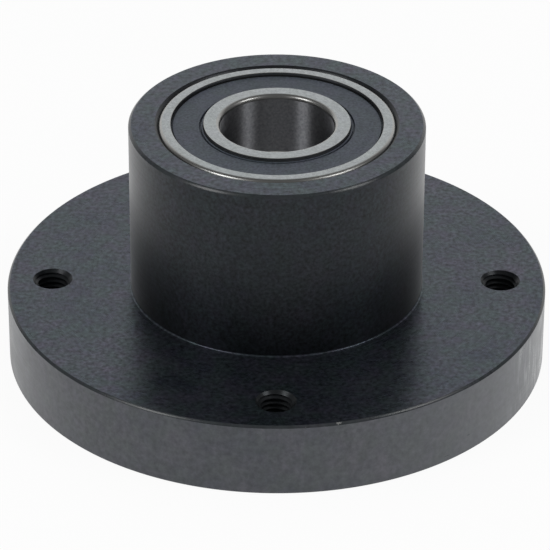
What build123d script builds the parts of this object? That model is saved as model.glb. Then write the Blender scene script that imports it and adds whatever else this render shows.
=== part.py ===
from build123d import *
from math import isclose
import os

# Flanged bearing housing with a sealed ball bearing at each end of its bore.
# Millimetres. The origin is the centre of the flange's underside, +Z runs along
# the bore axis towards the boss.

# Housing, turned from one piece
overall_height = 57.0
flange_diameter = 120.0
flange_thickness = 17.0
boss_diameter = 65.0
boss_root_fillet = 0.4
flange_edge_chamfer = 0.5
flange_base_chamfer = 0.2
boss_edge_chamfer = 0.6
seat_mouth_chamfer = 0.7
seat_shoulder = 3.0
land_edge_chamfer = 0.3

# Tapped M8 holes through the flange
bolt_edge_distance = 10.0
bolt_hole_count = 4
tap_drill_diameter = 6.8
countersink_diameter = 8.8

# Ball bearing, 25 x 52 x 15, the same at both ends
bearing_bore = 25.0
bearing_outer_diameter = 52.0
bearing_width = 15.0
ring_corner_radius = 1.0
seat_clearance = 0.01
ball_diameter = 7.938
ball_count = 9
race_clearance = 0.02
race_conformity = 0.515
race_depth = 1.9

# End lips of the rings, and the steps that the seals sit in
outer_lip_wall = 2.75
inner_lip_wall = 3.6
lip_edge_chamfer = 0.2
seal_step_depth = 2.6
snap_groove_depth = 0.5
snap_groove_height = 0.9

# Rubber seals
seal_recess = 0.75
seal_thickness = 1.45
seal_snap_clearance = 0.05
seal_lip_clearance = 0.12
seal_lip_width = 0.5
seal_groove_width = 0.4
seal_groove_depth = 0.6
seal_rim_width = 0.4

# Pressed steel cage, two halves held by rivets
cage_sheet = 0.6
cage_band_width = 3.2
pocket_clearance = 0.12
rivet_diameter = 1.2
rivet_head_diameter = 2.1
rivet_head_height = 0.45
rivet_head_chamfer = 0.2

# Spacer sleeve between the inner rings
spacer_bore_clearance = 0.5
spacer_wall = 2.5
spacer_edge_chamfer = 0.4

# Retaining ring for a 52 mm bore, and its groove
retaining_ring_thickness = 2.0
groove_depth = 1.5
groove_play = 0.15
groove_edge_distance = 4.5
ring_groove_clearance = 0.05
ring_widest = 5.0
ring_narrowest = 3.2
lug_reach = 7.8
lug_width = 6.0
lug_corner_radius = 1.6
lug_hole_diameter = 2.5
lug_hole_inset = 2.9
lug_gap = 9.0

flange_radius = flange_diameter / 2
boss_radius = boss_diameter / 2
ball_radius = ball_diameter / 2
bore_radius = bearing_bore / 2
outer_radius = bearing_outer_diameter / 2
half_width = bearing_width / 2
pitch_radius = (bore_radius + outer_radius) / 2

bolt_circle_radius = flange_radius - bolt_edge_distance
seat_radius = outer_radius + seat_clearance
seat_corner_radius = ring_corner_radius * 0.6
land_radius = seat_radius - seat_shoulder
groove_radius = seat_radius + groove_depth
lower_bearing_base = groove_edge_distance + retaining_ring_thickness
lower_seat_roof = lower_bearing_base + bearing_width
upper_seat_floor = overall_height - bearing_width

race_radius = race_conformity * ball_diameter
inner_race_radius = pitch_radius - ball_radius - race_clearance
outer_race_radius = pitch_radius + ball_radius + race_clearance
inner_shoulder_radius = inner_race_radius + race_depth
outer_shoulder_radius = outer_race_radius - race_depth
inner_lip_radius = bore_radius + inner_lip_wall
outer_lip_radius = outer_radius - outer_lip_wall

seal_top = half_width - seal_recess
seal_base = seal_top - seal_thickness
seal_rim_top = seal_base + snap_groove_height - seal_snap_clearance

pocket_radius = ball_radius + pocket_clearance
cup_radius = pocket_radius + cage_sheet
cage_inner_radius = pitch_radius - cage_band_width / 2
cage_outer_radius = pitch_radius + cage_band_width / 2

ball_places = PolarLocations(pitch_radius, ball_count)
rivet_places = PolarLocations(pitch_radius, ball_count, start_angle=180 / ball_count)


def band(inner, outer, bottom, top):
    """Section of a plain ring, between two radii and two heights."""
    centre = Pos((inner + outer) / 2, (bottom + top) / 2)
    return centre * Rectangle(outer - inner, top - bottom)


def corners_at(section, *points):
    """The corners of a section that lie nearest to the given radii and heights."""
    return [section.vertices().sort_by_distance(Vector(*point))[0] for point in points]


def spun(section):
    """Turn a section of radii and heights once round the bore axis."""
    return revolve(Plane.XZ * section, Axis.Z)


def make_housing():
    """Flange and boss in one piece, with a bearing seat from each end and tapped holes."""
    section = band(0, flange_radius, 0, flange_thickness)
    section += band(0, boss_radius, 0, overall_height)
    section -= band(0, land_radius, 0, overall_height)
    section -= band(0, seat_radius, upper_seat_floor, overall_height)
    section -= band(0, seat_radius, 0, lower_seat_roof)
    groove_top = groove_edge_distance + retaining_ring_thickness + groove_play
    section -= band(0, groove_radius, groove_edge_distance, groove_top)

    section = fillet(corners_at(section, (boss_radius, flange_thickness)), boss_root_fillet)
    seat_ends = corners_at(section, (seat_radius, upper_seat_floor), (seat_radius, lower_seat_roof))
    section = fillet(seat_ends, seat_corner_radius)
    land_ends = corners_at(section, (land_radius, upper_seat_floor), (land_radius, lower_seat_roof))
    section = chamfer(land_ends, land_edge_chamfer)
    section = chamfer(corners_at(section, (flange_radius, flange_thickness)), flange_edge_chamfer)
    section = chamfer(corners_at(section, (flange_radius, 0)), flange_base_chamfer)
    section = chamfer(corners_at(section, (boss_radius, overall_height)), boss_edge_chamfer)
    mouths = corners_at(section, (seat_radius, 0), (seat_radius, overall_height))
    section = chamfer(mouths, seat_mouth_chamfer)

    body = spun(section)
    tap_radius = tap_drill_diameter / 2
    for place in PolarLocations(bolt_circle_radius, bolt_hole_count):
        body -= place * Pos(0, 0, flange_thickness / 2) * Cylinder(tap_radius, flange_thickness)
    rims = body.edges().filter_by(GeomType.CIRCLE)
    rims = rims.filter_by(lambda rim: isclose(rim.radius, tap_radius, abs_tol=1e-6))
    return chamfer(rims, (countersink_diameter - tap_drill_diameter) / 2)


def make_outer_ring():
    """Outer ring: a raceway inside, and at each end a step with a snap groove for the seal."""
    section = band(outer_shoulder_radius, outer_radius, -half_width, half_width)
    section -= Pos(outer_race_radius - race_radius, 0) * Circle(race_radius)
    for side in (1, -1):
        step = sorted((side * seal_base, side * half_width))
        section -= band(0, outer_lip_radius, *step)
        snap = sorted((side * seal_base, side * (seal_base + snap_groove_height)))
        section -= band(0, outer_lip_radius + snap_groove_depth, *snap)
        section = chamfer(corners_at(section, (outer_lip_radius, side * half_width)), lip_edge_chamfer)
        section = fillet(corners_at(section, (outer_radius, side * half_width)), ring_corner_radius)
    return spun(section)


def make_inner_ring():
    """Inner ring: a raceway outside, and at each end a lower lip that the seal runs on."""
    step_height = half_width - seal_step_depth
    section = band(bore_radius, inner_lip_radius, -half_width, half_width)
    section += band(bore_radius, inner_shoulder_radius, -step_height, step_height)
    section -= Pos(inner_race_radius + race_radius, 0) * Circle(race_radius)
    for side in (1, -1):
        section = chamfer(corners_at(section, (inner_lip_radius, side * half_width)), lip_edge_chamfer)
        section = fillet(corners_at(section, (bore_radius, side * half_width)), ring_corner_radius)
    return spun(section)


def make_seal():
    """Seal of the upper side: a rim snapped into the outer ring, and a lip behind a moulded groove."""
    rim_radius = outer_lip_radius + snap_groove_depth - seal_snap_clearance
    plate_outer_radius = outer_lip_radius - seal_rim_width
    lip_radius = inner_lip_radius + seal_lip_clearance
    groove_inner_radius = lip_radius + seal_lip_width
    plate_inner_radius = groove_inner_radius + seal_groove_width
    groove_floor = seal_top - seal_groove_depth
    outline = Polyline(
        (lip_radius, seal_base),
        (rim_radius, seal_base),
        (rim_radius, seal_rim_top),
        (plate_outer_radius, seal_rim_top),
        (plate_outer_radius, seal_top),
        (plate_inner_radius, seal_top),
        (plate_inner_radius, groove_floor),
        (groove_inner_radius, groove_floor),
        (groove_inner_radius, seal_top),
        (lip_radius, seal_top),
        close=True,
    )
    return spun(make_face(outline))


def make_cage_half():
    """Upper half of the ribbon cage: round cups over the balls, joined by flat tabs."""
    half = spun(band(cage_inner_radius, cage_outer_radius, 0, cage_sheet))
    half += [place * Sphere(cup_radius) for place in ball_places]
    half &= spun(band(cage_inner_radius, cage_outer_radius, 0, cup_radius))
    half -= [place * Sphere(pocket_radius) for place in ball_places]
    return half - [place * Cylinder(rivet_diameter / 2, 2 * cage_sheet) for place in rivet_places]


def make_rivets():
    """The rivets that clamp the two cage halves, each a solid of its own."""
    head_top = cage_sheet + rivet_head_height
    section = band(0, rivet_diameter / 2, -cage_sheet, cage_sheet)
    for side in (1, -1):
        head = sorted((side * cage_sheet, side * head_top))
        section += band(0, rivet_head_diameter / 2, *head)
        rim = corners_at(section, (rivet_head_diameter / 2, side * head_top))
        section = chamfer(rim, rivet_head_chamfer)
    rivet = spun(section)
    return Compound(children=[place * rivet for place in rivet_places])


def make_spacer():
    """Sleeve that holds the inner rings apart, as long as the land between the seats."""
    sleeve_bore = bore_radius + spacer_bore_clearance
    sleeve_radius = sleeve_bore + spacer_wall
    section = band(sleeve_bore, sleeve_radius, lower_seat_roof, upper_seat_floor)
    ends = corners_at(
        section,
        (sleeve_bore, lower_seat_roof),
        (sleeve_radius, lower_seat_roof),
        (sleeve_bore, upper_seat_floor),
        (sleeve_radius, upper_seat_floor),
    )
    return spun(chamfer(ends, spacer_edge_chamfer))


def make_retaining_ring():
    """Internal retaining ring: widest opposite its gap, with a drilled lug at each end."""
    rim_radius = groove_radius - ring_groove_clearance
    eccentricity = (ring_widest - ring_narrowest) / 2
    opening_radius = rim_radius - (ring_widest + ring_narrowest) / 2
    outline = Circle(rim_radius) - Pos(-eccentricity, 0) * Circle(opening_radius)

    lug_start = rim_radius - lug_reach
    lug_side = (lug_gap + lug_width) / 2
    lug_hole = Circle(lug_hole_diameter / 2)
    for side in (1, -1):
        lug = Pos(-(lug_start + rim_radius) / 2, side * lug_side) * Rectangle(lug_reach, lug_width)
        tip = corners_at(
            lug,
            (-lug_start, side * (lug_side - lug_width / 2)),
            (-lug_start, side * (lug_side + lug_width / 2)),
        )
        outline += fillet(tip, lug_corner_radius) & Circle(rim_radius)
        outline -= Pos(-(lug_start + lug_hole_inset), side * lug_side) * lug_hole
    outline -= Pos(-rim_radius, 0) * Rectangle(2 * lug_reach, lug_gap)
    return Pos(0, 0, groove_edge_distance) * extrude(outline, retaining_ring_thickness)


def make_bearing():
    """Every piece of one bearing by name, centred on its own middle."""
    seal = make_seal()
    cage_half = make_cage_half()
    pieces = {
        "outer_ring": make_outer_ring(),
        "inner_ring": make_inner_ring(),
        "seal_top": seal,
        "seal_bottom": mirror(seal, Plane.XY),
        "cage_top": cage_half,
        "cage_bottom": mirror(cage_half, Plane.XY),
        "cage_rivets": make_rivets(),
    }
    for number, place in enumerate(ball_places, start=1):
        pieces[f"ball_{number}"] = place * Sphere(ball_radius)
    return pieces


def make_all():
    """Every node of the assembly by name, in place."""
    nodes = {
        "housing": make_housing(),
        "retaining_ring": make_retaining_ring(),
        "inner_ring_spacer": make_spacer(),
    }
    bearing_middles = {
        "upper": upper_seat_floor + half_width,
        "lower": lower_bearing_base + half_width,
    }
    pieces = make_bearing()
    for end, middle in bearing_middles.items():
        for name, piece in pieces.items():
            nodes[f"{end}_{name}"] = Pos(0, 0, middle) * piece
    return nodes


os.makedirs("parts", exist_ok=True)
for node, shape in make_all().items():
    export_step(shape, f"parts/{node}.step")
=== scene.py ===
"""Looks of the flanged bearing housing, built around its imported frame."""

import logging
import math
from dataclasses import dataclass, field
from enum import Enum
from typing import Callable

import bmesh
import bpy
from mathutils import Euler, Matrix, Vector


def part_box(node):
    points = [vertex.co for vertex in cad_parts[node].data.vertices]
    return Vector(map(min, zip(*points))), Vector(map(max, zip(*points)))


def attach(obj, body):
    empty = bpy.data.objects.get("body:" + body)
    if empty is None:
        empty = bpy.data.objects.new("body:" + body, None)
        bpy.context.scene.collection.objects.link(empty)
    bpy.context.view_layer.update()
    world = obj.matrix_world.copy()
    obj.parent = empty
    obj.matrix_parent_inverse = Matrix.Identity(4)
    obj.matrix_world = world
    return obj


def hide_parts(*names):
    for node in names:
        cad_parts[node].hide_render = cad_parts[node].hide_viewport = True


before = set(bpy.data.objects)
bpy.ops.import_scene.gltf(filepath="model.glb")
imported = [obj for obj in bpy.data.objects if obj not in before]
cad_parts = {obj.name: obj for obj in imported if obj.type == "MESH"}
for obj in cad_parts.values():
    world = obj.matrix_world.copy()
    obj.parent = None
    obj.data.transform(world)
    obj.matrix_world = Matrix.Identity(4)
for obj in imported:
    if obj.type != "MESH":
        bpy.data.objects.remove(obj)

log = logging.getLogger("bearing_housing")

MM = 0.001
MERGE_DISTANCE = 0.5e-6
SMOOTH_ANGLE = math.radians(32)
THREAD_FLANK = math.radians(30)
QUARTER_TURN = 0.25
DRIFT_SHARE = 0.6
OIL_ROUGHNESS = 0.36
BLOOM_ROUGHNESS = 0.3
CHAMFER_PROFILE = 0.32
LINE_GLOSS = (-0.04, 0.04)
SCUFF_GLOSS = 0.15
LEAST_SCUFFS = 0.03
SCUFFS_REACH = (0.050, 0.057)
# Where the painted light on the rim starts and is full along +X, in metres.
SIDE_LIGHT_REACH = (-0.010, 0.058)
RUB_CONTRAST = 14.0
UPRIGHT = 0.1
FLAT = 0.98
Point = tuple[float, float]
Colour = tuple[float, float, float]
Piece = bpy.types.Object
Material = bpy.types.Material
Materials = dict[str, Material]
Socket = bpy.types.NodeSocket
Given = Socket | float | Colour
Shade = Socket | Colour
Chooser = Callable[[Vector, float], bool]


class Side(Enum):
    """Which way along the bore axis something faces."""

    UP = 1
    DOWN = -1


class End(Enum):
    """The two ends of the bore that hold a bearing."""

    UPPER = "upper"
    LOWER = "lower"


@dataclass(frozen=True)
class Corner:
    """A corner of a half section that is broken by a chamfer or a round.

    Args:
        radius: Distance of the corner from the bore axis, in millimetres.
        height: Height of the corner, in millimetres.
        size: Length of the break along each side, in millimetres.
        segments: 1 for a chamfer, more for a round.
        profile: 0.5 for a true round, less for one nearer to a chamfer.
    """

    radius: float
    height: float
    size: float
    segments: int = 1
    profile: float = 0.5


def deselect_all() -> None:
    """Leave edit mode, and leave nothing selected."""
    if bpy.context.object and bpy.context.object.mode != "OBJECT":
        bpy.ops.object.mode_set(mode="OBJECT")
    bpy.ops.object.select_all(action="DESELECT")


def make_active(piece: Piece) -> None:
    """Select one piece alone and make it the active one.

    Args:
        piece: The piece.
    """
    deselect_all()
    piece.select_set(True)
    bpy.context.view_layer.objects.active = piece


def select_vertices(piece: Piece, wanted: Callable[[Vector], bool]) -> int:
    """Select the vertices of a piece in edit mode that pass a test.

    Args:
        piece: The piece being edited.
        wanted: A function of a vertex's place, in metres, that says whether to select it.

    Returns:
        How many vertices are selected.
    """
    bpy.ops.mesh.select_all(action="DESELECT")
    mesh = bmesh.from_edit_mesh(piece.data)
    chosen = [vertex for vertex in mesh.verts if wanted(vertex.co)]
    for vertex in chosen:
        vertex.select = True
    mesh.select_flush(True)
    bmesh.update_edit_mesh(piece.data)
    return len(chosen)


def merge_all() -> None:
    """Select all of the piece being edited, and merge the points that meet."""
    bpy.ops.mesh.select_all(action="SELECT")
    bpy.ops.mesh.remove_doubles(threshold=MERGE_DISTANCE)


def draw_line(name: str, points: list[Point], closed: bool) -> Piece:
    """Draw a half section in the plane through the bore axis and +X.

    Args:
        name: Name of the new piece, which stays in edit mode.
        points: Radius and height of each corner, in millimetres.
        closed: Whether the last point joins the first.

    Returns:
        The piece, a chain of edges.
    """
    deselect_all()
    bpy.ops.mesh.primitive_plane_add(size=MM, location=(0, 0, 0))
    piece = bpy.context.object
    piece.name = name
    piece.data.name = name
    bpy.ops.object.mode_set(mode="EDIT")
    bpy.ops.mesh.select_mode(type="VERT")
    bpy.ops.mesh.select_all(action="SELECT")
    bpy.ops.mesh.merge(type="CENTER")
    bpy.ops.transform.translate(value=(points[0][0] * MM, 0, points[0][1] * MM))
    route = points + points[:1] if closed else points
    for (radius, height), (next_radius, next_height) in zip(route, route[1:]):
        step = ((next_radius - radius) * MM, 0, (next_height - height) * MM)
        bpy.ops.mesh.extrude_region_move(TRANSFORM_OT_translate={"value": step})
    merge_all()
    return piece


def break_corner(piece: Piece, corner: Corner) -> None:
    """Chamfer or round one corner of a half section in edit mode.

    Args:
        piece: The half section being edited.
        corner: Where the corner is and how it is broken.
    """
    place = Vector((corner.radius * MM, 0, corner.height * MM))
    found = select_vertices(piece, lambda co: (co - place).length < 10 * MERGE_DISTANCE)
    if found != 1:
        raise ValueError(f"{piece.name} has {found} corners at {corner.radius}, {corner.height}")
    bpy.ops.mesh.bevel(
        affect="VERTICES", offset=corner.size * MM, offset_pct=0,
        segments=corner.segments, profile=corner.profile, clamp_overlap=False,
    )


def turn(name: str, points: list[Point], corners: list[Corner], steps: int) -> Piece:
    """Make a piece of revolution from its half section, as on a lathe.

    Args:
        name: Name of the new piece.
        points: Radius and height of each corner, in millimetres.
        corners: The corners that are chamfered or rounded.
        steps: How many steps the full turn takes.

    Returns:
        The closed piece, in object mode.
    """
    piece = draw_line(name, points, closed=True)
    for corner in corners:
        break_corner(piece, corner)
    bpy.ops.mesh.select_all(action="SELECT")
    bpy.ops.mesh.spin(steps=steps, angle=2 * math.pi, center=(0, 0, 0), axis=(0, 0, 1))
    merge_all()
    bpy.ops.mesh.normals_make_consistent(inside=False)
    bpy.ops.object.mode_set(mode="OBJECT")
    return piece


def cut_away(piece: Piece, cutter: Piece) -> None:
    """Take a cutter's shape out of a piece, and delete the cutter.

    Args:
        piece: The piece that is cut.
        cutter: A closed shape.
    """
    make_active(piece)
    modifier = piece.modifiers.new("cut", "BOOLEAN")
    modifier.operation = "DIFFERENCE"
    modifier.solver = "EXACT"
    modifier.object = cutter
    bpy.ops.object.modifier_apply(modifier=modifier.name)
    bpy.data.objects.remove(cutter)


def smooth(piece: Piece) -> None:
    """Shade round faces smooth, keep hard edges, and let large flat faces stay flat.

    Args:
        piece: The finished piece.
    """
    make_active(piece)
    bpy.ops.object.shade_smooth_by_angle(angle=SMOOTH_ANGLE)
    modifier = piece.modifiers.new("flat faces", "WEIGHTED_NORMAL")
    modifier.keep_sharp = True
    modifier.weight = 100
    bpy.ops.object.modifier_apply(modifier=modifier.name)


def dress(piece: Piece, finish: Material) -> None:
    """Give a piece one material all over."""
    piece.data.materials.clear()
    piece.data.materials.append(finish)


def dress_faces(piece: Piece, finish: Material, wanted: Chooser) -> None:
    """Give some faces of a piece a finish of their own.

    Args:
        piece: The piece, already dressed all over.
        finish: The material of the chosen faces.
        wanted: A function of a face's middle, in millimetres, and of how much it faces along
            the bore axis, from 0 to 1, that says whether to choose it.
    """
    piece.data.materials.append(finish)
    index = len(piece.data.materials) - 1
    for face in piece.data.polygons:
        if wanted(face.center / MM, abs(face.normal.z)):
            face.material_index = index


class Nodes:
    """Adds nodes to one shader tree."""

    def __init__(self, tree: bpy.types.NodeTree) -> None:
        """Work on a tree."""
        self.tree = tree

    def feed(self, socket: Socket, value: Given) -> None:
        """Link a value to an input where it is a socket, or else set the input to it.

        Args:
            socket: The input.
            value: What it takes.
        """
        if isinstance(value, Socket):
            self.tree.links.new(value, socket)
        else:
            socket.default_value = value

    def add(self, kind: str, *values: Given) -> bpy.types.Node:
        """Add a node.

        Args:
            kind: The node's type, without the ShaderNode before it.
            values: What its first inputs take.

        Returns:
            The node.
        """
        node = self.tree.nodes.new(f"ShaderNode{kind}")
        for socket, value in zip(node.inputs, values):
            self.feed(socket, value)
        return node

    def put(self, effect: "Effect", **values: float) -> bpy.types.NodeOutputs:
        """Add a shared effect.

        Args:
            effect: The effect.
            values: Input names and their values.

        Returns:
            The effect's outputs.
        """
        node = self.add("Group")
        node.node_tree = effect.tree
        for label, value in values.items():
            node.inputs[label].default_value = value
        return node.outputs

    def math(self, operation: str, *values: Given) -> Socket:
        """Add a Math node.

        Args:
            operation: The node's operation.
            values: Its inputs.

        Returns:
            The node's output.
        """
        node = self.add("Math", *values)
        node.operation = operation
        return node.outputs[0]

    def times(self, first: Socket, second: Given) -> Socket:
        """Multiply two values."""
        return self.math("MULTIPLY", first, second)

    def noise(self, vector: Socket, scale: Given, detail: float, roughness: float = 0.5) -> Socket:
        """Add a Noise Texture.

        Args:
            vector: The coordinates that it reads.
            scale: How fine it is.
            detail: How many octaves it has.
            roughness: How much each octave adds.

        Returns:
            The noise, around 0.5.
        """
        node = self.add("TexNoise", vector)
        for label, value in (("Scale", scale), ("Detail", detail), ("Roughness", roughness)):
            self.feed(node.inputs[label], value)
        return node.outputs["Fac"]

    def mapped(self, value: Socket, source: Point, target: Point = (0.0, 1.0)) -> Socket:
        """Map a value from one range to another, clamped at both ends.

        Args:
            value: The value that is mapped.
            source: Low and high end of the range that it comes from.
            target: Low and high end of the range that it goes to.

        Returns:
            The mapped value.
        """
        return self.add("MapRange", value, *source, *target).outputs["Result"]

    def place(self) -> Socket:
        """Where a point is on the object, in metres."""
        return self.add("TexCoord").outputs["Object"]

    def split(self, vector: Socket) -> tuple[Socket, Socket, Socket]:
        """Take a vector apart into its three coordinates."""
        return tuple(self.add("SeparateXYZ", vector).outputs)

    def joined(self, *coordinates: Socket) -> Socket:
        """Put three coordinates together as a vector."""
        return self.add("CombineXYZ", *coordinates).outputs[0]

    def scaled(self, colour: Socket, factor: Socket) -> Socket:
        """Make a colour lighter or darker.

        Args:
            colour: The colour.
            factor: What it is multiplied by.

        Returns:
            The new colour.
        """
        node = self.add("VectorMath", colour)
        node.operation = "SCALE"
        self.feed(node.inputs["Scale"], factor)
        return node.outputs[0]

    def mixed(self, factor: Socket, first: Shade, second: Shade) -> Socket:
        """Blend two colours by a mask.

        Args:
            factor: The mask: 0 gives the first colour, 1 the second.
            first: A colour or a socket.
            second: A colour or a socket.

        Returns:
            The blended colour.
        """
        node = self.add("Mix", factor)
        node.data_type = "RGBA"
        # The node has an A, a B and a Result for each kind of value: these are its colours'.
        for socket, value in ((node.inputs[6], first), (node.inputs[7], second)):
            self.feed(socket, value if isinstance(value, Socket) else (*value, 1.0))
        return node.outputs[2]


class Effect(Nodes):
    """A shader node group with named inputs and outputs."""

    def __init__(self, name: str, inputs: dict[str, float], outputs: list[str]) -> None:
        """Start an empty group.

        Args:
            name: The group's name.
            inputs: Each input's name and usual value.
            outputs: The names of the outputs, all single values.
        """
        super().__init__(bpy.data.node_groups.new(name, "ShaderNodeTree"))
        for label, value in inputs.items():
            socket = self.tree.interface.new_socket(label, in_out="INPUT", socket_type="NodeSocketFloat")
            socket.default_value = value
        for label in outputs:
            self.tree.interface.new_socket(label, in_out="OUTPUT", socket_type="NodeSocketFloat")
        self.given = self.tree.nodes.new("NodeGroupInput").outputs
        self.results = self.tree.nodes.new("NodeGroupOutput").inputs


def turning_lines() -> Effect:
    """Build fine turning lines: circles on flat faces, rings on walls.

    Returns:
        The effect.
    """
    effect = Effect("turning_lines", {"Radial": 3000.0, "Axial": 3000.0, "Sweep": 0.6}, ["Lines"])
    x, y, z = effect.split(effect.place())
    square = effect.math("ADD", effect.times(x, x), effect.times(y, y))
    radius = effect.math("MAXIMUM", effect.math("SQRT", square), MM)
    sweep = effect.math("DIVIDE", effect.given["Sweep"], radius)
    across = effect.times(radius, effect.given["Radial"])
    along = effect.times(z, effect.given["Axial"])
    turned = effect.times(x, sweep), effect.times(y, sweep)
    together = effect.joined(*turned, effect.math("ADD", across, along))
    lines = effect.noise(together, scale=1.0, detail=3.0, roughness=0.6)
    effect.feed(effect.results["Lines"], lines)
    return effect


def mottling() -> Effect:
    """Build the cloudy patches of a handled surface, coarse, middling and fine.

    Returns:
        The effect.
    """
    usual = {"Coarse": 60.0, "Middle": 260.0, "Fine": 700.0}
    effect = Effect("mottling", usual, ["Patches", "Tint", "Grain"])
    place = effect.place()
    for scale, detail, roughness, span, result in (
        ("Coarse", 5.0, 0.62, (0.32, 0.68), "Patches"),
        ("Middle", 3.0, 0.55, (0.36, 0.64), "Tint"),
        ("Fine", 3.0, 0.6, (0.25, 0.75), "Grain"),
    ):
        noise = effect.noise(place, effect.given[scale], detail, roughness)
        effect.feed(effect.results[result], effect.mapped(noise, span))
    return effect


def scuffs_and_side_light() -> Effect:
    """Build upright scuffs on the rim at its +X side, and painted light that lightens the rim towards
    that side.

    Returns:
        The effect.
    """
    effect = Effect("scuffs_and_side_light", {"Scale": 620.0, "Stretch": 6.0}, ["Marks", "SideLight"])
    place = effect.place()
    x, y, z = effect.split(place)
    scale = effect.given["Scale"]
    flat = effect.math("DIVIDE", scale, effect.given["Stretch"])
    level = effect.times(x, scale), effect.times(y, scale)
    together = effect.joined(*level, effect.times(z, flat))
    scuffs = effect.noise(together, scale=1.0, detail=4.0, roughness=0.65)
    clouds = effect.noise(place, scale=110.0, detail=2.0)
    near = effect.math("MAXIMUM", effect.mapped(x, SCUFFS_REACH), LEAST_SCUFFS)
    cloudy = effect.mapped(clouds, (0.38, 0.62), (0.25, 1.0))
    scuffed = effect.times(effect.mapped(scuffs, (0.50, 0.68)), cloudy)
    effect.feed(effect.results["Marks"], effect.times(scuffed, near))
    # Painted light: lighter towards +X.
    effect.feed(effect.results["SideLight"], effect.math("POWER", effect.mapped(x, SIDE_LIGHT_REACH), 2.0))
    return effect


def edge_wear() -> Effect:
    """Build short bright rubs where the black has come off an edge.

    Returns:
        The effect.
    """
    effect = Effect("edge_wear", {"Scale": 500.0, "Amount": 0.5}, ["Bare"])
    place = effect.place()
    short = effect.noise(place, effect.given["Scale"], detail=4.0, roughness=0.7)
    both = effect.times(short, effect.noise(place, scale=45.0, detail=2.0))
    level = effect.math("SUBTRACT", 0.5, effect.times(effect.given["Amount"], 0.4))
    over = effect.times(effect.math("SUBTRACT", both, level), RUB_CONTRAST)
    effect.feed(effect.results["Bare"], effect.mapped(over, (0.0, 1.0)))
    return effect


@dataclass(frozen=True)
class Finish:
    """What one finish is made of: two colours, gloss and surface texture.

    Args:
        name: The material's name.
        colour: Its main colour.
        second: The colour of its patches.
        third: The colour that small clouds drift towards.
        metallic: 1 for bare metal, 0 otherwise.
        roughness: Lowest and highest roughness.
        ior: Index of refraction of the surface.
        line_spacing: Rough distance between turning lines in millimetres, 0 for none.
        line_height: Height of the lines, in millimetres.
        grain_height: Height of the fine grain, in millimetres.
        coarse: How fine the patches are, per metre.
        fine: How fine the grain is, per metre.
        wear: How much of the surface is rubbed bare, 0 for none.
        bare_and_lit_colour: The colour of what is rubbed bare or scuffed, and of the painted light on
            the rim's +X side.
        marks: How strongly scuffs show, 0 for none.
        side_light: How much painted light lightens the +X side, as a share.
        speckle: How much the grain lightens and darkens the colour, as a share.
        oil: How much of the surface a thin film of oil covers.
        bloom: How strongly a fine bloom lightens it where it turns away.
        reflection: Tint of the gloss where it is seen straight on.
        brushed: How much the gloss is drawn out across the turning lines, 0 for none.
    """

    name: str
    colour: Colour
    second: Colour
    third: Colour
    roughness: Point
    metallic: float = 1.0
    ior: float = 1.5
    line_spacing: float = 0.0
    line_height: float = 0.0
    grain_height: float = 0.0
    coarse: float = 60.0
    fine: float = 700.0
    wear: float = 0.0
    bare_and_lit_colour: Colour = (0.5, 0.5, 0.49)
    marks: float = 0.0
    side_light: float = 0.0
    speckle: float = 0.0
    oil: float = 0.0
    bloom: float = 0.0
    reflection: Colour = (1.0, 1.0, 1.0)
    brushed: float = 0.0

    def make(self, effects: dict[str, Effect]) -> Material:
        """Build the material.

        Args:
            effects: The shared effects by name.

        Returns:
            The material.
        """
        material = bpy.data.materials.new(self.name)
        material.use_nodes = True
        nodes = Nodes(material.node_tree)
        shader = material.node_tree.nodes["Principled BSDF"].inputs
        constants = {
            "IOR": self.ior,
            "Metallic": self.metallic,
            "Specular Tint": (*self.reflection, 1.0),
            "Coat Weight": self.oil,
            "Coat Roughness": OIL_ROUGHNESS,
            "Sheen Weight": self.bloom,
            "Sheen Roughness": BLOOM_ROUGHNESS,
        }
        if self.brushed:
            constants |= {"Anisotropic": self.brushed, "Anisotropic Rotation": QUARTER_TURN}
            round_axis = nodes.add("Tangent")
            round_axis.direction_type = "RADIAL"
            round_axis.axis = "Z"
            nodes.feed(shader["Tangent"], round_axis.outputs["Tangent"])
        for label, value in constants.items():
            shader[label].default_value = value

        clouds = nodes.put(effects["mottling"], Coarse=self.coarse, Fine=self.fine)
        colour = nodes.mixed(clouds["Patches"], self.colour, self.second)
        colour = nodes.mixed(nodes.times(clouds["Tint"], DRIFT_SHARE), colour, self.third)
        if self.speckle:
            span = (1.0 - self.speckle, 1.0 + self.speckle)
            colour = nodes.scaled(colour, nodes.mapped(clouds["Grain"], (0.0, 1.0), span))
        gloss = nodes.mapped(clouds["Patches"], (0.0, 1.0), self.roughness)
        height = nodes.times(clouds["Grain"], self.grain_height * MM)
        if self.line_spacing:
            pace = 1 / (self.line_spacing * MM)
            lines = nodes.put(effects["turning_lines"], Radial=pace, Axial=pace)["Lines"]
            height = nodes.math("ADD", height, nodes.times(lines, self.line_height * MM))
            gloss = nodes.math("ADD", gloss, nodes.mapped(lines, (0.3, 0.7), LINE_GLOSS))
        if self.marks:
            scuffs = nodes.put(effects["scuffs_and_side_light"])
            # Painted light: the colour is lightened towards the +X side.
            lit_side = nodes.times(scuffs["SideLight"], self.side_light)
            colour = nodes.mixed(lit_side, colour, self.bare_and_lit_colour)
            strength = nodes.times(scuffs["Marks"], self.marks)
            colour = nodes.mixed(strength, colour, self.bare_and_lit_colour)
            gloss = nodes.math("SUBTRACT", gloss, nodes.times(strength, SCUFF_GLOSS))
        if self.wear:
            bare = nodes.put(effects["edge_wear"], Amount=self.wear)["Bare"]
            colour = nodes.mixed(bare, colour, self.bare_and_lit_colour)
            nodes.feed(shader["Metallic"], nodes.math("MAXIMUM", bare, self.metallic))
        bump = nodes.add("Bump")
        nodes.feed(bump.inputs["Distance"], 1.0)
        nodes.feed(bump.inputs["Height"], height)
        nodes.feed(shader["Base Color"], colour)
        nodes.feed(shader["Roughness"], gloss)
        nodes.feed(shader["Normal"], bump.outputs["Normal"])
        return material


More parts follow.
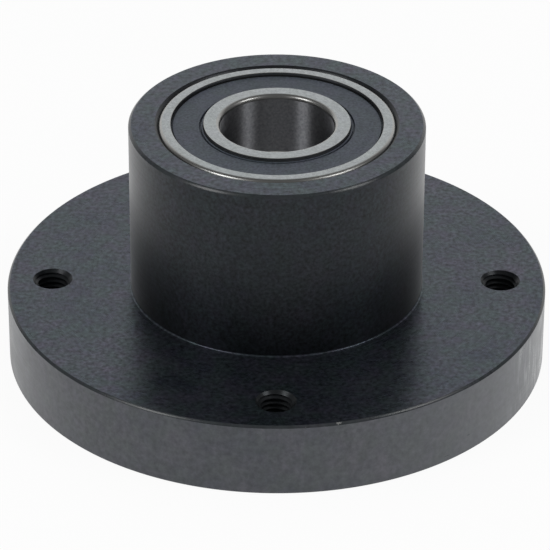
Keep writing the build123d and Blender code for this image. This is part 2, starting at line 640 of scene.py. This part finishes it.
FINISHES = (
    Finish(
        "blackened_steel",
        colour=(0.036, 0.043, 0.061), second=(0.069, 0.067, 0.093), third=(0.045, 0.070, 0.067),
        metallic=0.8, roughness=(0.26, 0.34), line_spacing=0.35, line_height=0.0006,
        grain_height=0.0010, coarse=90.0, fine=1000.0, speckle=0.75,
    ),
    # The boss wall's black oxide, made several times darker than the rim's: partly painted shade for the
    # flange's shadow on the wall.
    Finish(
        "blackened_wall_with_painted_shade",
        colour=(0.011, 0.014, 0.020), second=(0.021, 0.022, 0.030), third=(0.013, 0.021, 0.022),
        metallic=0.9, roughness=(0.38, 0.44),
        line_spacing=0.3, line_height=0.0003, grain_height=0.0010, fine=1300.0,
        speckle=0.9, brushed=0.75, oil=0.38, bloom=0.25,
    ),
    # Darker than the blackened steel: painted shade for the tapped holes and the seat's mouth chamfer.
    Finish(
        "shade_painted_steel",
        colour=(0.016, 0.018, 0.022), second=(0.024, 0.025, 0.029), third=(0.018, 0.023, 0.024),
        metallic=0.6, roughness=(0.32, 0.40), grain_height=0.001, fine=1400.0, speckle=0.35,
    ),
    Finish(
        # The rim is lightened towards +X with painted light.
        "rim_steel",
        colour=(0.038, 0.040, 0.050), second=(0.062, 0.059, 0.070), third=(0.044, 0.052, 0.049),
        metallic=0.0, roughness=(0.30, 0.42), reflection=(0.85, 0.92, 1.0),
        line_spacing=0.3, line_height=0.0006, grain_height=0.0016, coarse=100.0, fine=800.0,
        speckle=0.45, marks=0.9, side_light=0.24, oil=0.18, bare_and_lit_colour=(0.34, 0.35, 0.36),
    ),
    Finish(
        "worn_edge",
        colour=(0.018, 0.021, 0.026), second=(0.030, 0.032, 0.038), third=(0.021, 0.030, 0.030),
        metallic=0.0, roughness=(0.24, 0.32), grain_height=0.0008, speckle=0.3, wear=0.12,
    ),
    Finish(
        "ground_face",
        colour=(0.300, 0.322, 0.335), second=(0.350, 0.366, 0.376), third=(0.320, 0.347, 0.340),
        roughness=(0.24, 0.30),
        line_spacing=0.22, line_height=0.0006, grain_height=0.0006, fine=1800.0, speckle=0.25,
    ),
    Finish(
        "ground_steel",
        colour=(0.33, 0.335, 0.33), second=(0.36, 0.36, 0.35), third=(0.35, 0.345, 0.33),
        roughness=(0.26, 0.32), line_spacing=0.22, line_height=0.0005, grain_height=0.0002,
    ),
    Finish(
        "honed_bore",
        colour=(0.300, 0.305, 0.328), second=(0.333, 0.333, 0.346), third=(0.308, 0.318, 0.338),
        roughness=(0.42, 0.46), grain_height=0.0002, fine=1600.0, speckle=0.3, brushed=1.0,
    ),
    Finish(
        "seal_rubber",
        colour=(0.035, 0.043, 0.057), second=(0.055, 0.059, 0.077), third=(0.041, 0.055, 0.057),
        metallic=0.0, roughness=(0.46, 0.56), speckle=0.6, reflection=(0.7, 0.8, 1.0),
        line_spacing=0.5, line_height=0.0008, grain_height=0.003, fine=1800.0,
    ),
    Finish(
        "polished_steel",
        colour=(0.62, 0.62, 0.63), second=(0.66, 0.66, 0.66), third=(0.64, 0.64, 0.65),
        roughness=(0.06, 0.1), grain_height=0.00005,
    ),
    Finish(
        "cage_steel",
        colour=(0.42, 0.41, 0.39), second=(0.5, 0.49, 0.46), third=(0.46, 0.44, 0.41),
        roughness=(0.28, 0.4), grain_height=0.001, fine=1500.0,
    ),
    Finish(
        "turned_steel",
        colour=(0.4, 0.4, 0.4), second=(0.46, 0.46, 0.45), third=(0.43, 0.43, 0.42),
        roughness=(0.26, 0.34), line_spacing=0.18, line_height=0.002,
    ),
    Finish(
        "spring_steel",
        colour=(0.05, 0.05, 0.055), second=(0.08, 0.078, 0.075), third=(0.06, 0.064, 0.062),
        metallic=0.6, roughness=(0.3, 0.4), grain_height=0.001,
    ),
)


@dataclass
class Housing:
    """The turned flange and boss, with its seats, groove and tapped holes. Millimetres."""

    flange_radius: float = 60.0
    flange_thickness: float = 17.0
    boss_radius: float = 32.5
    height: float = 57.0
    root_fillet: float = 0.4
    flange_chamfer: float = 0.5
    base_chamfer: float = 0.2
    boss_chamfer: float = 0.6
    mouth_chamfer: float = 0.7
    seat_radius: float = 26.01
    seat_corner: float = 0.6
    land_radius: float = 23.01
    land_chamfer: float = 0.3
    upper_seat_floor: float = 42.0
    lower_seat_roof: float = 21.5
    groove_radius: float = 27.51
    groove_bottom: float = 4.5
    groove_top: float = 6.65
    hole_circle_radius: float = 50.0
    hole_count: int = 4
    thread_crest_radius: float = 3.33
    thread_root_radius: float = 4.0
    thread_pitch: float = 1.25
    countersink_radius: float = 4.4
    countersink_depth: float = 1.0
    steps: int = 256
    turns_before: int = 2
    spare_turns: int = 3
    thread_steps: int = 40
    cone_steps: int = 72
    edge_segments: int = 3
    seat_segments: int = 4
    fillet_segments: int = 6

    def outline(self) -> list[Point]:
        """Draw the half section.

        Returns:
            Radius and height of every corner, counter-clockwise.
        """
        return [
            (self.seat_radius, 0.0), (self.flange_radius, 0.0),
            (self.flange_radius, self.flange_thickness), (self.boss_radius, self.flange_thickness),
            (self.boss_radius, self.height), (self.seat_radius, self.height),
            (self.seat_radius, self.upper_seat_floor), (self.land_radius, self.upper_seat_floor),
            (self.land_radius, self.lower_seat_roof), (self.seat_radius, self.lower_seat_roof),
            (self.seat_radius, self.groove_top), (self.groove_radius, self.groove_top),
            (self.groove_radius, self.groove_bottom), (self.seat_radius, self.groove_bottom),
        ]

    def corners(self) -> list[Corner]:
        """List how the half section's corners are broken.

        Returns:
            Every chamfer and fillet.
        """
        rounded = self.edge_segments, CHAMFER_PROFILE
        return [
            Corner(self.seat_radius, 0.0, self.mouth_chamfer),
            Corner(self.flange_radius, 0.0, self.base_chamfer),
            Corner(self.flange_radius, self.flange_thickness, self.flange_chamfer, *rounded),
            Corner(self.boss_radius, self.flange_thickness, self.root_fillet, self.fillet_segments),
            Corner(self.boss_radius, self.height, self.boss_chamfer, *rounded),
            Corner(self.seat_radius, self.height, self.mouth_chamfer, *rounded),
            Corner(self.seat_radius, self.upper_seat_floor, self.seat_corner, self.seat_segments),
            Corner(self.land_radius, self.upper_seat_floor, self.land_chamfer),
            Corner(self.land_radius, self.lower_seat_roof, self.land_chamfer),
            Corner(self.seat_radius, self.lower_seat_roof, self.seat_corner, self.seat_segments),
        ]

    def hole_places(self) -> list[Vector]:
        """Spread the holes evenly round the flange.

        Returns:
            Where each hole's axis crosses the flange's underside, in metres.
        """
        reach = self.hole_circle_radius * MM
        angles = [2 * math.pi * number / self.hole_count for number in range(self.hole_count)]
        return [Vector((reach * math.cos(angle), reach * math.sin(angle), 0)) for angle in angles]

    def thread_cutter(self) -> Piece:
        """Model a screw that leaves one tapped hole.

        Returns:
            The screw, on the bore axis, longer than the flange is thick.
        """
        crest, root, pitch = self.thread_crest_radius, self.thread_root_radius, self.thread_pitch
        flank = (root - crest) * math.tan(THREAD_FLANK)
        flat = (pitch - 2 * flank) / 2
        tooth = (crest, 0), (crest, flat), (root, flat + flank), (root, 2 * flat + flank), (crest, pitch)
        tooth = [(radius, height - self.turns_before * pitch) for radius, height in tooth]
        cutter = draw_line("thread_cutter", tooth, closed=False)
        bpy.ops.object.mode_set(mode="OBJECT")
        modifier = cutter.modifiers.new("thread", "SCREW")
        modifier.axis = "Z"
        modifier.angle = 2 * math.pi
        modifier.screw_offset = pitch * MM
        modifier.iterations = math.ceil(self.flange_thickness / pitch) + self.spare_turns
        modifier.steps = modifier.render_steps = self.thread_steps
        modifier.use_merge_vertices = True
        modifier.merge_threshold = MERGE_DISTANCE
        bpy.ops.object.modifier_apply(modifier=modifier.name)
        bpy.ops.object.mode_set(mode="EDIT")
        merge_all()
        for side in Side:
            self.close_end(cutter, side)
        bpy.ops.mesh.select_all(action="SELECT")
        bpy.ops.mesh.normals_make_consistent(inside=False)
        bpy.ops.object.mode_set(mode="OBJECT")
        return cutter

    def close_end(self, cutter: Piece, side: Side) -> None:
        """Close one end of the screw shape with a fan of faces to its axis.

        Args:
            cutter: The screw shape, in edit mode.
            side: The end that is closed.
        """
        middle = self.flange_thickness * MM / 2
        bpy.ops.mesh.select_mode(type="EDGE")
        bpy.ops.mesh.select_all(action="DESELECT")
        mesh = bmesh.from_edit_mesh(cutter.data)
        for edge in mesh.edges:
            height = (edge.verts[0].co.z + edge.verts[1].co.z) / 2
            beyond = (height - middle) * side.value > 0
            edge.select = beyond and len(edge.link_faces) == 1
        mesh.select_flush(True)
        bmesh.update_edit_mesh(cutter.data)
        bpy.ops.mesh.extrude_edges_move(TRANSFORM_OT_translate={"value": (0, 0, 0)})
        bpy.ops.mesh.merge(type="COLLAPSE")
        bpy.ops.mesh.select_mode(type="VERT")

    def countersink_cutter(self, side: Side) -> Piece:
        """A cone that breaks the mouth of one hole.

        Args:
            side: The face of the flange that the mouth is in.

        Returns:
            The cone, on the bore axis.
        """
        deselect_all()
        face = self.flange_thickness if side is Side.UP else 0.0
        flare = side.value * self.countersink_depth
        bpy.ops.mesh.primitive_cone_add(
            vertices=self.cone_steps, radius1=(self.countersink_radius - flare) * MM,
            radius2=(self.countersink_radius + flare) * MM,
            depth=2 * self.countersink_depth * MM, location=(0, 0, face * MM),
        )
        cone = bpy.context.object
        bpy.ops.object.transform_apply(location=True, rotation=True, scale=True)
        return cone

    def spread_cutters(self, model: Piece) -> Piece:
        """Copy one cutter to every hole and join the copies.

        Args:
            model: A cutter on the bore axis, which is used up.

        Returns:
            One object with a closed shape at each hole.
        """
        copies = []
        for place in self.hole_places():
            copy = model.copy()
            copy.data = model.data.copy()
            copy.data.transform(Matrix.Translation(place))
            bpy.context.scene.collection.objects.link(copy)
            copies.append(copy)
        bpy.data.objects.remove(model)
        make_active(copies[0])
        for copy in copies:
            copy.select_set(True)
        bpy.ops.object.join()
        return bpy.context.object

    def dress(self, piece: Piece, finishes: Materials) -> None:
        """Give the housing its black finish, its rim and rubbed edges their own, its wall a darker black
        that is partly painted shade, and painted shade in its holes and at the seat's mouth.

        Args:
            piece: The finished housing.
            finishes: The materials by name.
        """
        near = 0.05
        mouth = self.height - self.mouth_chamfer - near
        reach = self.countersink_radius + near
        holes = [place.xy / MM for place in self.hole_places()]

        def wall(radius: float) -> Chooser:
            """Choose the upright faces at a radius."""
            return lambda at, tilt: tilt < UPRIGHT and abs(at.xy.length - radius) < near

        def slopes(inside: float = 0.0, below: float = 0.0) -> Chooser:
            """Choose the sloping faces beyond a radius and above a height."""
            return lambda at, tilt: UPRIGHT < tilt < FLAT and at.xy.length > inside and at.z > below

        def in_hole(place: Vector, tilt: float) -> bool:
            """Choose all but the flat faces in the four holes."""
            return tilt < FLAT and any((place.xy - hole).length < reach for hole in holes)

        dress(piece, finishes["blackened_steel"])
        for name, wanted in (
            # The boss wall: black oxide, darkened further as painted shade.
            ("blackened_wall_with_painted_shade", wall(self.boss_radius)),
            ("rim_steel", wall(self.flange_radius)),
            ("worn_edge", slopes(self.flange_radius - self.flange_chamfer - near)),
            # The seat's mouth chamfer takes the darker steel as painted shade.
            ("shade_painted_steel", slopes(below=mouth)),
            ("worn_edge", slopes(self.boss_radius - self.boss_chamfer - near, mouth)),
            # The holes take the darker steel as painted shade.
            ("shade_painted_steel", in_hole),
        ):
            dress_faces(piece, finishes[name], wanted)

    def build(self, finishes: Materials) -> Piece:
        """Model, cut and dress the housing.

        Args:
            finishes: The materials by name.

        Returns:
            The finished piece.
        """
        piece = turn("housing_body", self.outline(), self.corners(), self.steps)
        cut_away(piece, self.spread_cutters(self.thread_cutter()))
        for side in Side:
            cut_away(piece, self.spread_cutters(self.countersink_cutter(side)))
        smooth(piece)
        self.dress(piece, finishes)
        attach(piece, "housing")
        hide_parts("housing")
        return piece


@dataclass
class BallBearing:
    """One sealed ball bearing: its ground rings and seals. Millimetres, from its own middle."""

    end: End
    bore_radius: float = 12.5
    outer_radius: float = 26.0
    width: float = 15.0
    corner_radius: float = 1.0
    ball_radius: float = 3.969
    ball_count: int = 9
    race_clearance: float = 0.02
    race_radius: float = 0.515 * 7.938
    race_depth: float = 1.9
    outer_lip_wall: float = 2.75
    inner_lip_wall: float = 3.6
    lip_edge: float = 0.12
    seal_step_depth: float = 2.6
    snap_depth: float = 0.5
    snap_height: float = 0.9
    seal_recess: float = 0.75
    seal_thickness: float = 1.45
    snap_clearance: float = 0.05
    lip_clearance: float = 0.06
    seal_lip_width: float = 0.42
    seal_groove_width: float = 0.4
    seal_groove_depth: float = 0.6
    seal_rim_width: float = 0.4
    seal_edge: float = 0.15
    corner_segments: int = 8
    lip_segments: int = 2
    seal_segments: int = 4
    race_points: int = 20
    steps: int = 256
    middle: float = field(init=False)

    def __post_init__(self) -> None:
        """Read from the frame where the bearing's middle is."""
        low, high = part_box(self.node("outer_ring"))
        self.middle = (low[2] + high[2]) / 2 / MM

    def node(self, part: str) -> str:
        """The frame's name for one piece of this bearing."""
        return f"{self.end.value}_{part}"

    @property
    def pitch_radius(self) -> float:
        """Radius of the circle that the balls' centres lie on."""
        return (self.bore_radius + self.outer_radius) / 2

    @property
    def seal_base(self) -> float:
        """Height of the seal's inner face above the bearing's middle."""
        return self.width / 2 - self.seal_recess - self.seal_thickness

    def race(self, inner: bool) -> list[Point]:
        """The raceway's arc, from the lower shoulder to the upper one.

        Args:
            inner: True for the inner ring's raceway, False for the outer ring's.

        Returns:
            Radius and height of points along the arc.
        """
        side = -1 if inner else 1
        bottom = self.pitch_radius + side * (self.ball_radius + self.race_clearance)
        centre = bottom - side * self.race_radius
        half_angle = math.acos((self.race_radius - self.race_depth) / self.race_radius)
        points = []
        for number in range(self.race_points + 1):
            angle = half_angle * (2 * number / self.race_points - 1)
            across = centre + side * self.race_radius * math.cos(angle)
            points.append((across, self.race_radius * math.sin(angle)))
        return points

    def ring(self, part: str, inner: bool, end: list[Point]) -> Piece:
        """Turn a ring whose two ends mirror each other.

        Args:
            part: The ring's name in the bearing.
            inner: True for the inner ring, False for the outer ring.
            end: The upper end's corners, from the seal's step to the lip and the ring's own corner.

        Returns:
            The ring.
        """
        race = self.race(inner)
        upper_end = [(race[0][0], end[0][1]), *end]
        lower_end = [(radius, -height) for radius, height in reversed(upper_end)]
        outline = [(radius, height + self.middle) for radius, height in lower_end + race + upper_end]
        corners = [
            Corner(radius, side.value * height + self.middle, size, segments)
            for (radius, height), size, segments in (
                (end[-1], self.corner_radius, self.corner_segments),
                (end[-2], self.lip_edge, self.lip_segments),
            )
            for side in Side
        ]
        return turn(self.node(f"{part}_ground"), outline, corners, self.steps)

    def outer_ring(self) -> Piece:
        """Turn the outer ring, with its raceway, seal steps and snap grooves.

        Returns:
            The ring.
        """
        half, base = self.width / 2, self.seal_base
        lip = self.outer_radius - self.outer_lip_wall
        snap, step = lip + self.snap_depth, base + self.snap_height
        end = [(snap, base), (snap, step), (lip, step), (lip, half), (self.outer_radius, half)]
        return self.ring("outer_ring", False, end)

    def inner_ring(self) -> Piece:
        """Turn the inner ring, with its raceway and the low lips that the seals run on.

        Returns:
            The ring.
        """
        half = self.width / 2
        lip = self.bore_radius + self.inner_lip_wall
        end = [(lip, half - self.seal_step_depth), (lip, half), (self.bore_radius, half)]
        return self.ring("inner_ring", True, end)

    def seal(self, side: Side) -> Piece:
        """One rubber seal, snapped into the outer ring.

        Args:
            side: The end of the bearing that it closes.

        Returns:
            The seal.
        """
        base = self.seal_base
        top = base + self.seal_thickness
        rim = self.outer_radius - self.outer_lip_wall + self.snap_depth - self.snap_clearance
        plate_outer = self.outer_radius - self.outer_lip_wall - self.seal_rim_width
        lip = self.bore_radius + self.inner_lip_wall + self.lip_clearance
        groove_inner = lip + self.seal_lip_width
        plate_inner = groove_inner + self.seal_groove_width
        groove_floor = top - self.seal_groove_depth
        rim_top = base + self.snap_height - self.snap_clearance
        points = [
            (lip, base), (rim, base), (rim, rim_top), (plate_outer, rim_top), (plate_outer, top),
            (plate_inner, top), (plate_inner, groove_floor), (groove_inner, groove_floor),
            (groove_inner, top), (lip, top),
        ]
        tops = [(radius, top) for radius in (plate_outer, plate_inner, groove_inner, lip)]
        outline = [(radius, side.value * height + self.middle) for radius, height in points]
        corners = [
            Corner(radius, side.value * height + self.middle, self.seal_edge, self.seal_segments)
            for radius, height in (*tops, (rim, rim_top))
        ]
        label = "top" if side is Side.UP else "bottom"
        return turn(self.node(f"seal_{label}_rubber"), outline, corners, self.steps)

    def dress_ground_faces(self, piece: Piece, finishes: Materials) -> None:
        """Give a ring's flat ends and the bore their own ground finishes.

        Args:
            piece: The ring.
            finishes: The materials by name.
        """
        near, upright = 0.01, 0.05
        end, bore = self.width / 2 - near, self.bore_radius
        for name, wanted in (
            ("ground_face", lambda place, tilt: tilt > FLAT and abs(place.z - self.middle) > end),
            ("honed_bore", lambda place, tilt: tilt < upright and abs(place.xy.length - bore) < near),
        ):
            dress_faces(piece, finishes[name], wanted)

    def build(self, finishes: Materials) -> list[Piece]:
        """Model the rings and seals, and dress every piece of the bearing.

        Args:
            finishes: The materials by name.

        Returns:
            The new pieces.
        """
        pieces = [
            (self.outer_ring(), "housing", "ground_steel", "outer_ring"),
            (self.inner_ring(), f"{self.end.value}_inner", "ground_steel", "inner_ring"),
            (self.seal(Side.UP), "housing", "seal_rubber", "seal_top"),
            (self.seal(Side.DOWN), "housing", "seal_rubber", "seal_bottom"),
        ]
        for piece, body, slot, part in pieces:
            smooth(piece)
            dress(piece, finishes[slot])
            if slot == "ground_steel":
                self.dress_ground_faces(piece, finishes)
            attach(piece, body)
            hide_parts(self.node(part))
        kept = dict.fromkeys(("cage_top", "cage_bottom", "cage_rivets"), "cage_steel")
        kept.update({f"ball_{number + 1}": "polished_steel" for number in range(self.ball_count)})
        for part, slot in kept.items():
            dress(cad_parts[self.node(part)], finishes[slot])
        return [piece for piece, *_ in pieces]


@dataclass
class Spacer:
    """The sleeve between the inner rings. Millimetres."""

    bore_radius: float = 13.0
    wall: float = 2.5
    edge: float = 0.4
    steps: int = 192

    def build(self, finishes: Materials) -> Piece:
        """Model and dress the sleeve.

        Args:
            finishes: The materials by name.

        Returns:
            The sleeve.
        """
        low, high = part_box("inner_ring_spacer")
        bottom, top = low[2] / MM, high[2] / MM
        outer = self.bore_radius + self.wall
        outline = [(self.bore_radius, bottom), (outer, bottom), (outer, top), (self.bore_radius, top)]
        corners = [Corner(radius, height, self.edge) for radius, height in outline]
        piece = turn("spacer_sleeve", outline, corners, self.steps)
        smooth(piece)
        dress(piece, finishes["turned_steel"])
        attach(piece, "lower_inner")
        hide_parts("inner_ring_spacer")
        return piece


@dataclass
class Studio:
    """Pale floor, soft light and the photograph's camera.

    The camera's values were fitted to the photograph's ellipses, in its own frame of 550 pixels.
    """

    frame_px: float = 550.0
    focal_px: float = 3805.5
    distance: float = 0.85948
    elevation: float = math.radians(30.9955)
    roll: float = math.radians(0.2077)
    offset_right: float = 0.000337
    offset_up: float = -0.015579
    sensor_mm: float = 36.0
    floor_size: float = 6.0
    floor_glow: float = 0.93
    floor_drop: float = 0.00002
    floor_colour: Colour = (0.86, 0.86, 0.86)
    floor_roughness: float = 0.9
    soft_light: float = 0.6
    ceiling_level: float = 0.3
    ceiling_angles: Point = (38.0, 60.0)
    front_level: float = 0.15
    back_reach: Point = (0.5, 0.76)

    def camera(self) -> None:
        """Set the camera where the photograph was taken from."""
        data = bpy.data.cameras.new("photo_camera")
        data.sensor_width = self.sensor_mm
        data.lens = self.focal_px * self.sensor_mm / self.frame_px
        data.clip_start = 0.01
        data.clip_end = 20.0
        camera = bpy.data.objects.new("photo_camera", data)
        bpy.context.scene.collection.objects.link(camera)
        up = Vector((0, math.sin(self.elevation), math.cos(self.elevation)))
        place = Vector((0, -math.cos(self.elevation), math.sin(self.elevation))) * self.distance
        camera.location = place - up * self.offset_up - Vector((self.offset_right, 0, 0))
        tilt = Euler((math.pi / 2 - self.elevation, 0, 0)).to_matrix()
        camera.rotation_euler = (tilt @ Matrix.Rotation(self.roll, 3, "Z")).to_euler()
        bpy.context.scene.camera = camera

    def lamp(self, name: str, place: Point, height: float, size: float, power: float) -> None:
        """Add a soft square lamp that points at the object.

        Args:
            name: The lamp's name.
            place: Where it stands, in metres along X and Y.
            height: How high it hangs, in metres.
            size: Its side, in metres.
            power: Its power in watts.
        """
        data = bpy.data.lights.new(name, "AREA")
        data.size = size
        data.energy = power
        lamp = bpy.data.objects.new(name, data)
        bpy.context.scene.collection.objects.link(lamp)
        lamp.location = (*place, height)
        lamp.rotation_euler = (-lamp.location).to_track_quat("-Z", "Y").to_euler()

    def seen(self, nodes: Nodes) -> Socket:
        """Tell rays from the camera, a reflection or a clear piece from others.

        Args:
            nodes: The shader tree that asks.

        Returns:
            1 for the first kind of ray, 0 for others.
        """
        path = nodes.add("LightPath").outputs
        glossy = nodes.math("MAXIMUM", path["Is Glossy Ray"], path["Is Transmission Ray"])
        return nodes.math("MAXIMUM", path["Is Camera Ray"], glossy)

    def world(self) -> None:
        """White where it is seen, dim but at the back in reflections, a soft even light for the rest."""
        world = bpy.data.worlds.new("studio")
        bpy.context.scene.world = world
        world.use_nodes = True
        nodes = Nodes(world.node_tree)
        background = world.node_tree.nodes["Background"].inputs
        background["Color"].default_value = (1.0, 1.0, 1.0, 1.0)
        _, forward, up = nodes.split(nodes.add("TexCoord").outputs["Generated"])
        heights = tuple(math.sin(math.radians(angle)) for angle in self.ceiling_angles)
        ceiling = nodes.mapped(up, heights, (1.0, self.ceiling_level))
        back = nodes.mapped(forward, self.back_reach, (self.front_level, 1.0))
        room = nodes.math("MINIMUM", ceiling, back)
        camera = nodes.add("LightPath").outputs["Is Camera Ray"]
        above = nodes.math("SUBTRACT", nodes.math("MAXIMUM", camera, room), self.soft_light)
        strength = nodes.math("MULTIPLY_ADD", self.seen(nodes), above, self.soft_light)
        nodes.feed(background["Strength"], strength)

    def floor(self) -> None:
        """Lay a wide pale floor that keeps a faint shadow, and is clear when seen from below."""
        deselect_all()
        bpy.ops.mesh.primitive_plane_add(size=self.floor_size, location=(0, 0, -self.floor_drop))
        floor = bpy.context.object
        floor.name = "floor"
        material = bpy.data.materials.new("pale_floor")
        material.use_nodes = True
        nodes = Nodes(material.node_tree)
        shader = material.node_tree.nodes["Principled BSDF"]
        shader.inputs["Base Color"].default_value = (*self.floor_colour, 1.0)
        shader.inputs["Roughness"].default_value = self.floor_roughness
        shader.inputs["Specular IOR Level"].default_value = 0.0
        glow = nodes.add("Emission").outputs["Emission"]
        share = nodes.mapped(self.seen(nodes), (0.0, 1.0), (0.0, self.floor_glow))
        pale = nodes.add("MixShader", share, shader.outputs["BSDF"], glow).outputs["Shader"]
        below = nodes.add("NewGeometry").outputs["Backfacing"]
        clear = nodes.add("BsdfTransparent").outputs["BSDF"]
        whole = nodes.add("MixShader", below, pale, clear).outputs["Shader"]
        nodes.feed(material.node_tree.nodes["Material Output"].inputs["Surface"], whole)
        floor.data.materials.append(material)

    def build(self) -> None:
        """Set up camera, light and floor."""
        self.camera()
        self.world()
        self.floor()
        self.lamp("left_lamp", place=(-0.78, -0.45), height=0.9, size=0.42, power=3.0)
        self.lamp("right_lamp", place=(0.85, -0.31), height=0.95, size=0.4, power=2.6)
        bpy.context.scene.view_settings.view_transform = "Standard"


def main() -> None:
    """Build the object and its studio."""
    logging.basicConfig(level=logging.INFO, format="%(name)s: %(message)s")
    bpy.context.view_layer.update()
    Studio().build()
    groups = (turning_lines(), mottling(), edge_wear(), scuffs_and_side_light())
    effects = {group.tree.name: group for group in groups}
    finishes = {finish.name: finish.make(effects) for finish in FINISHES}
    pieces = [Housing().build(finishes), Spacer().build(finishes)]
    for end in End:
        pieces += BallBearing(end).build(finishes)
    dress(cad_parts["retaining_ring"], finishes["spring_steel"])


if __name__ == "__main__":
    main()
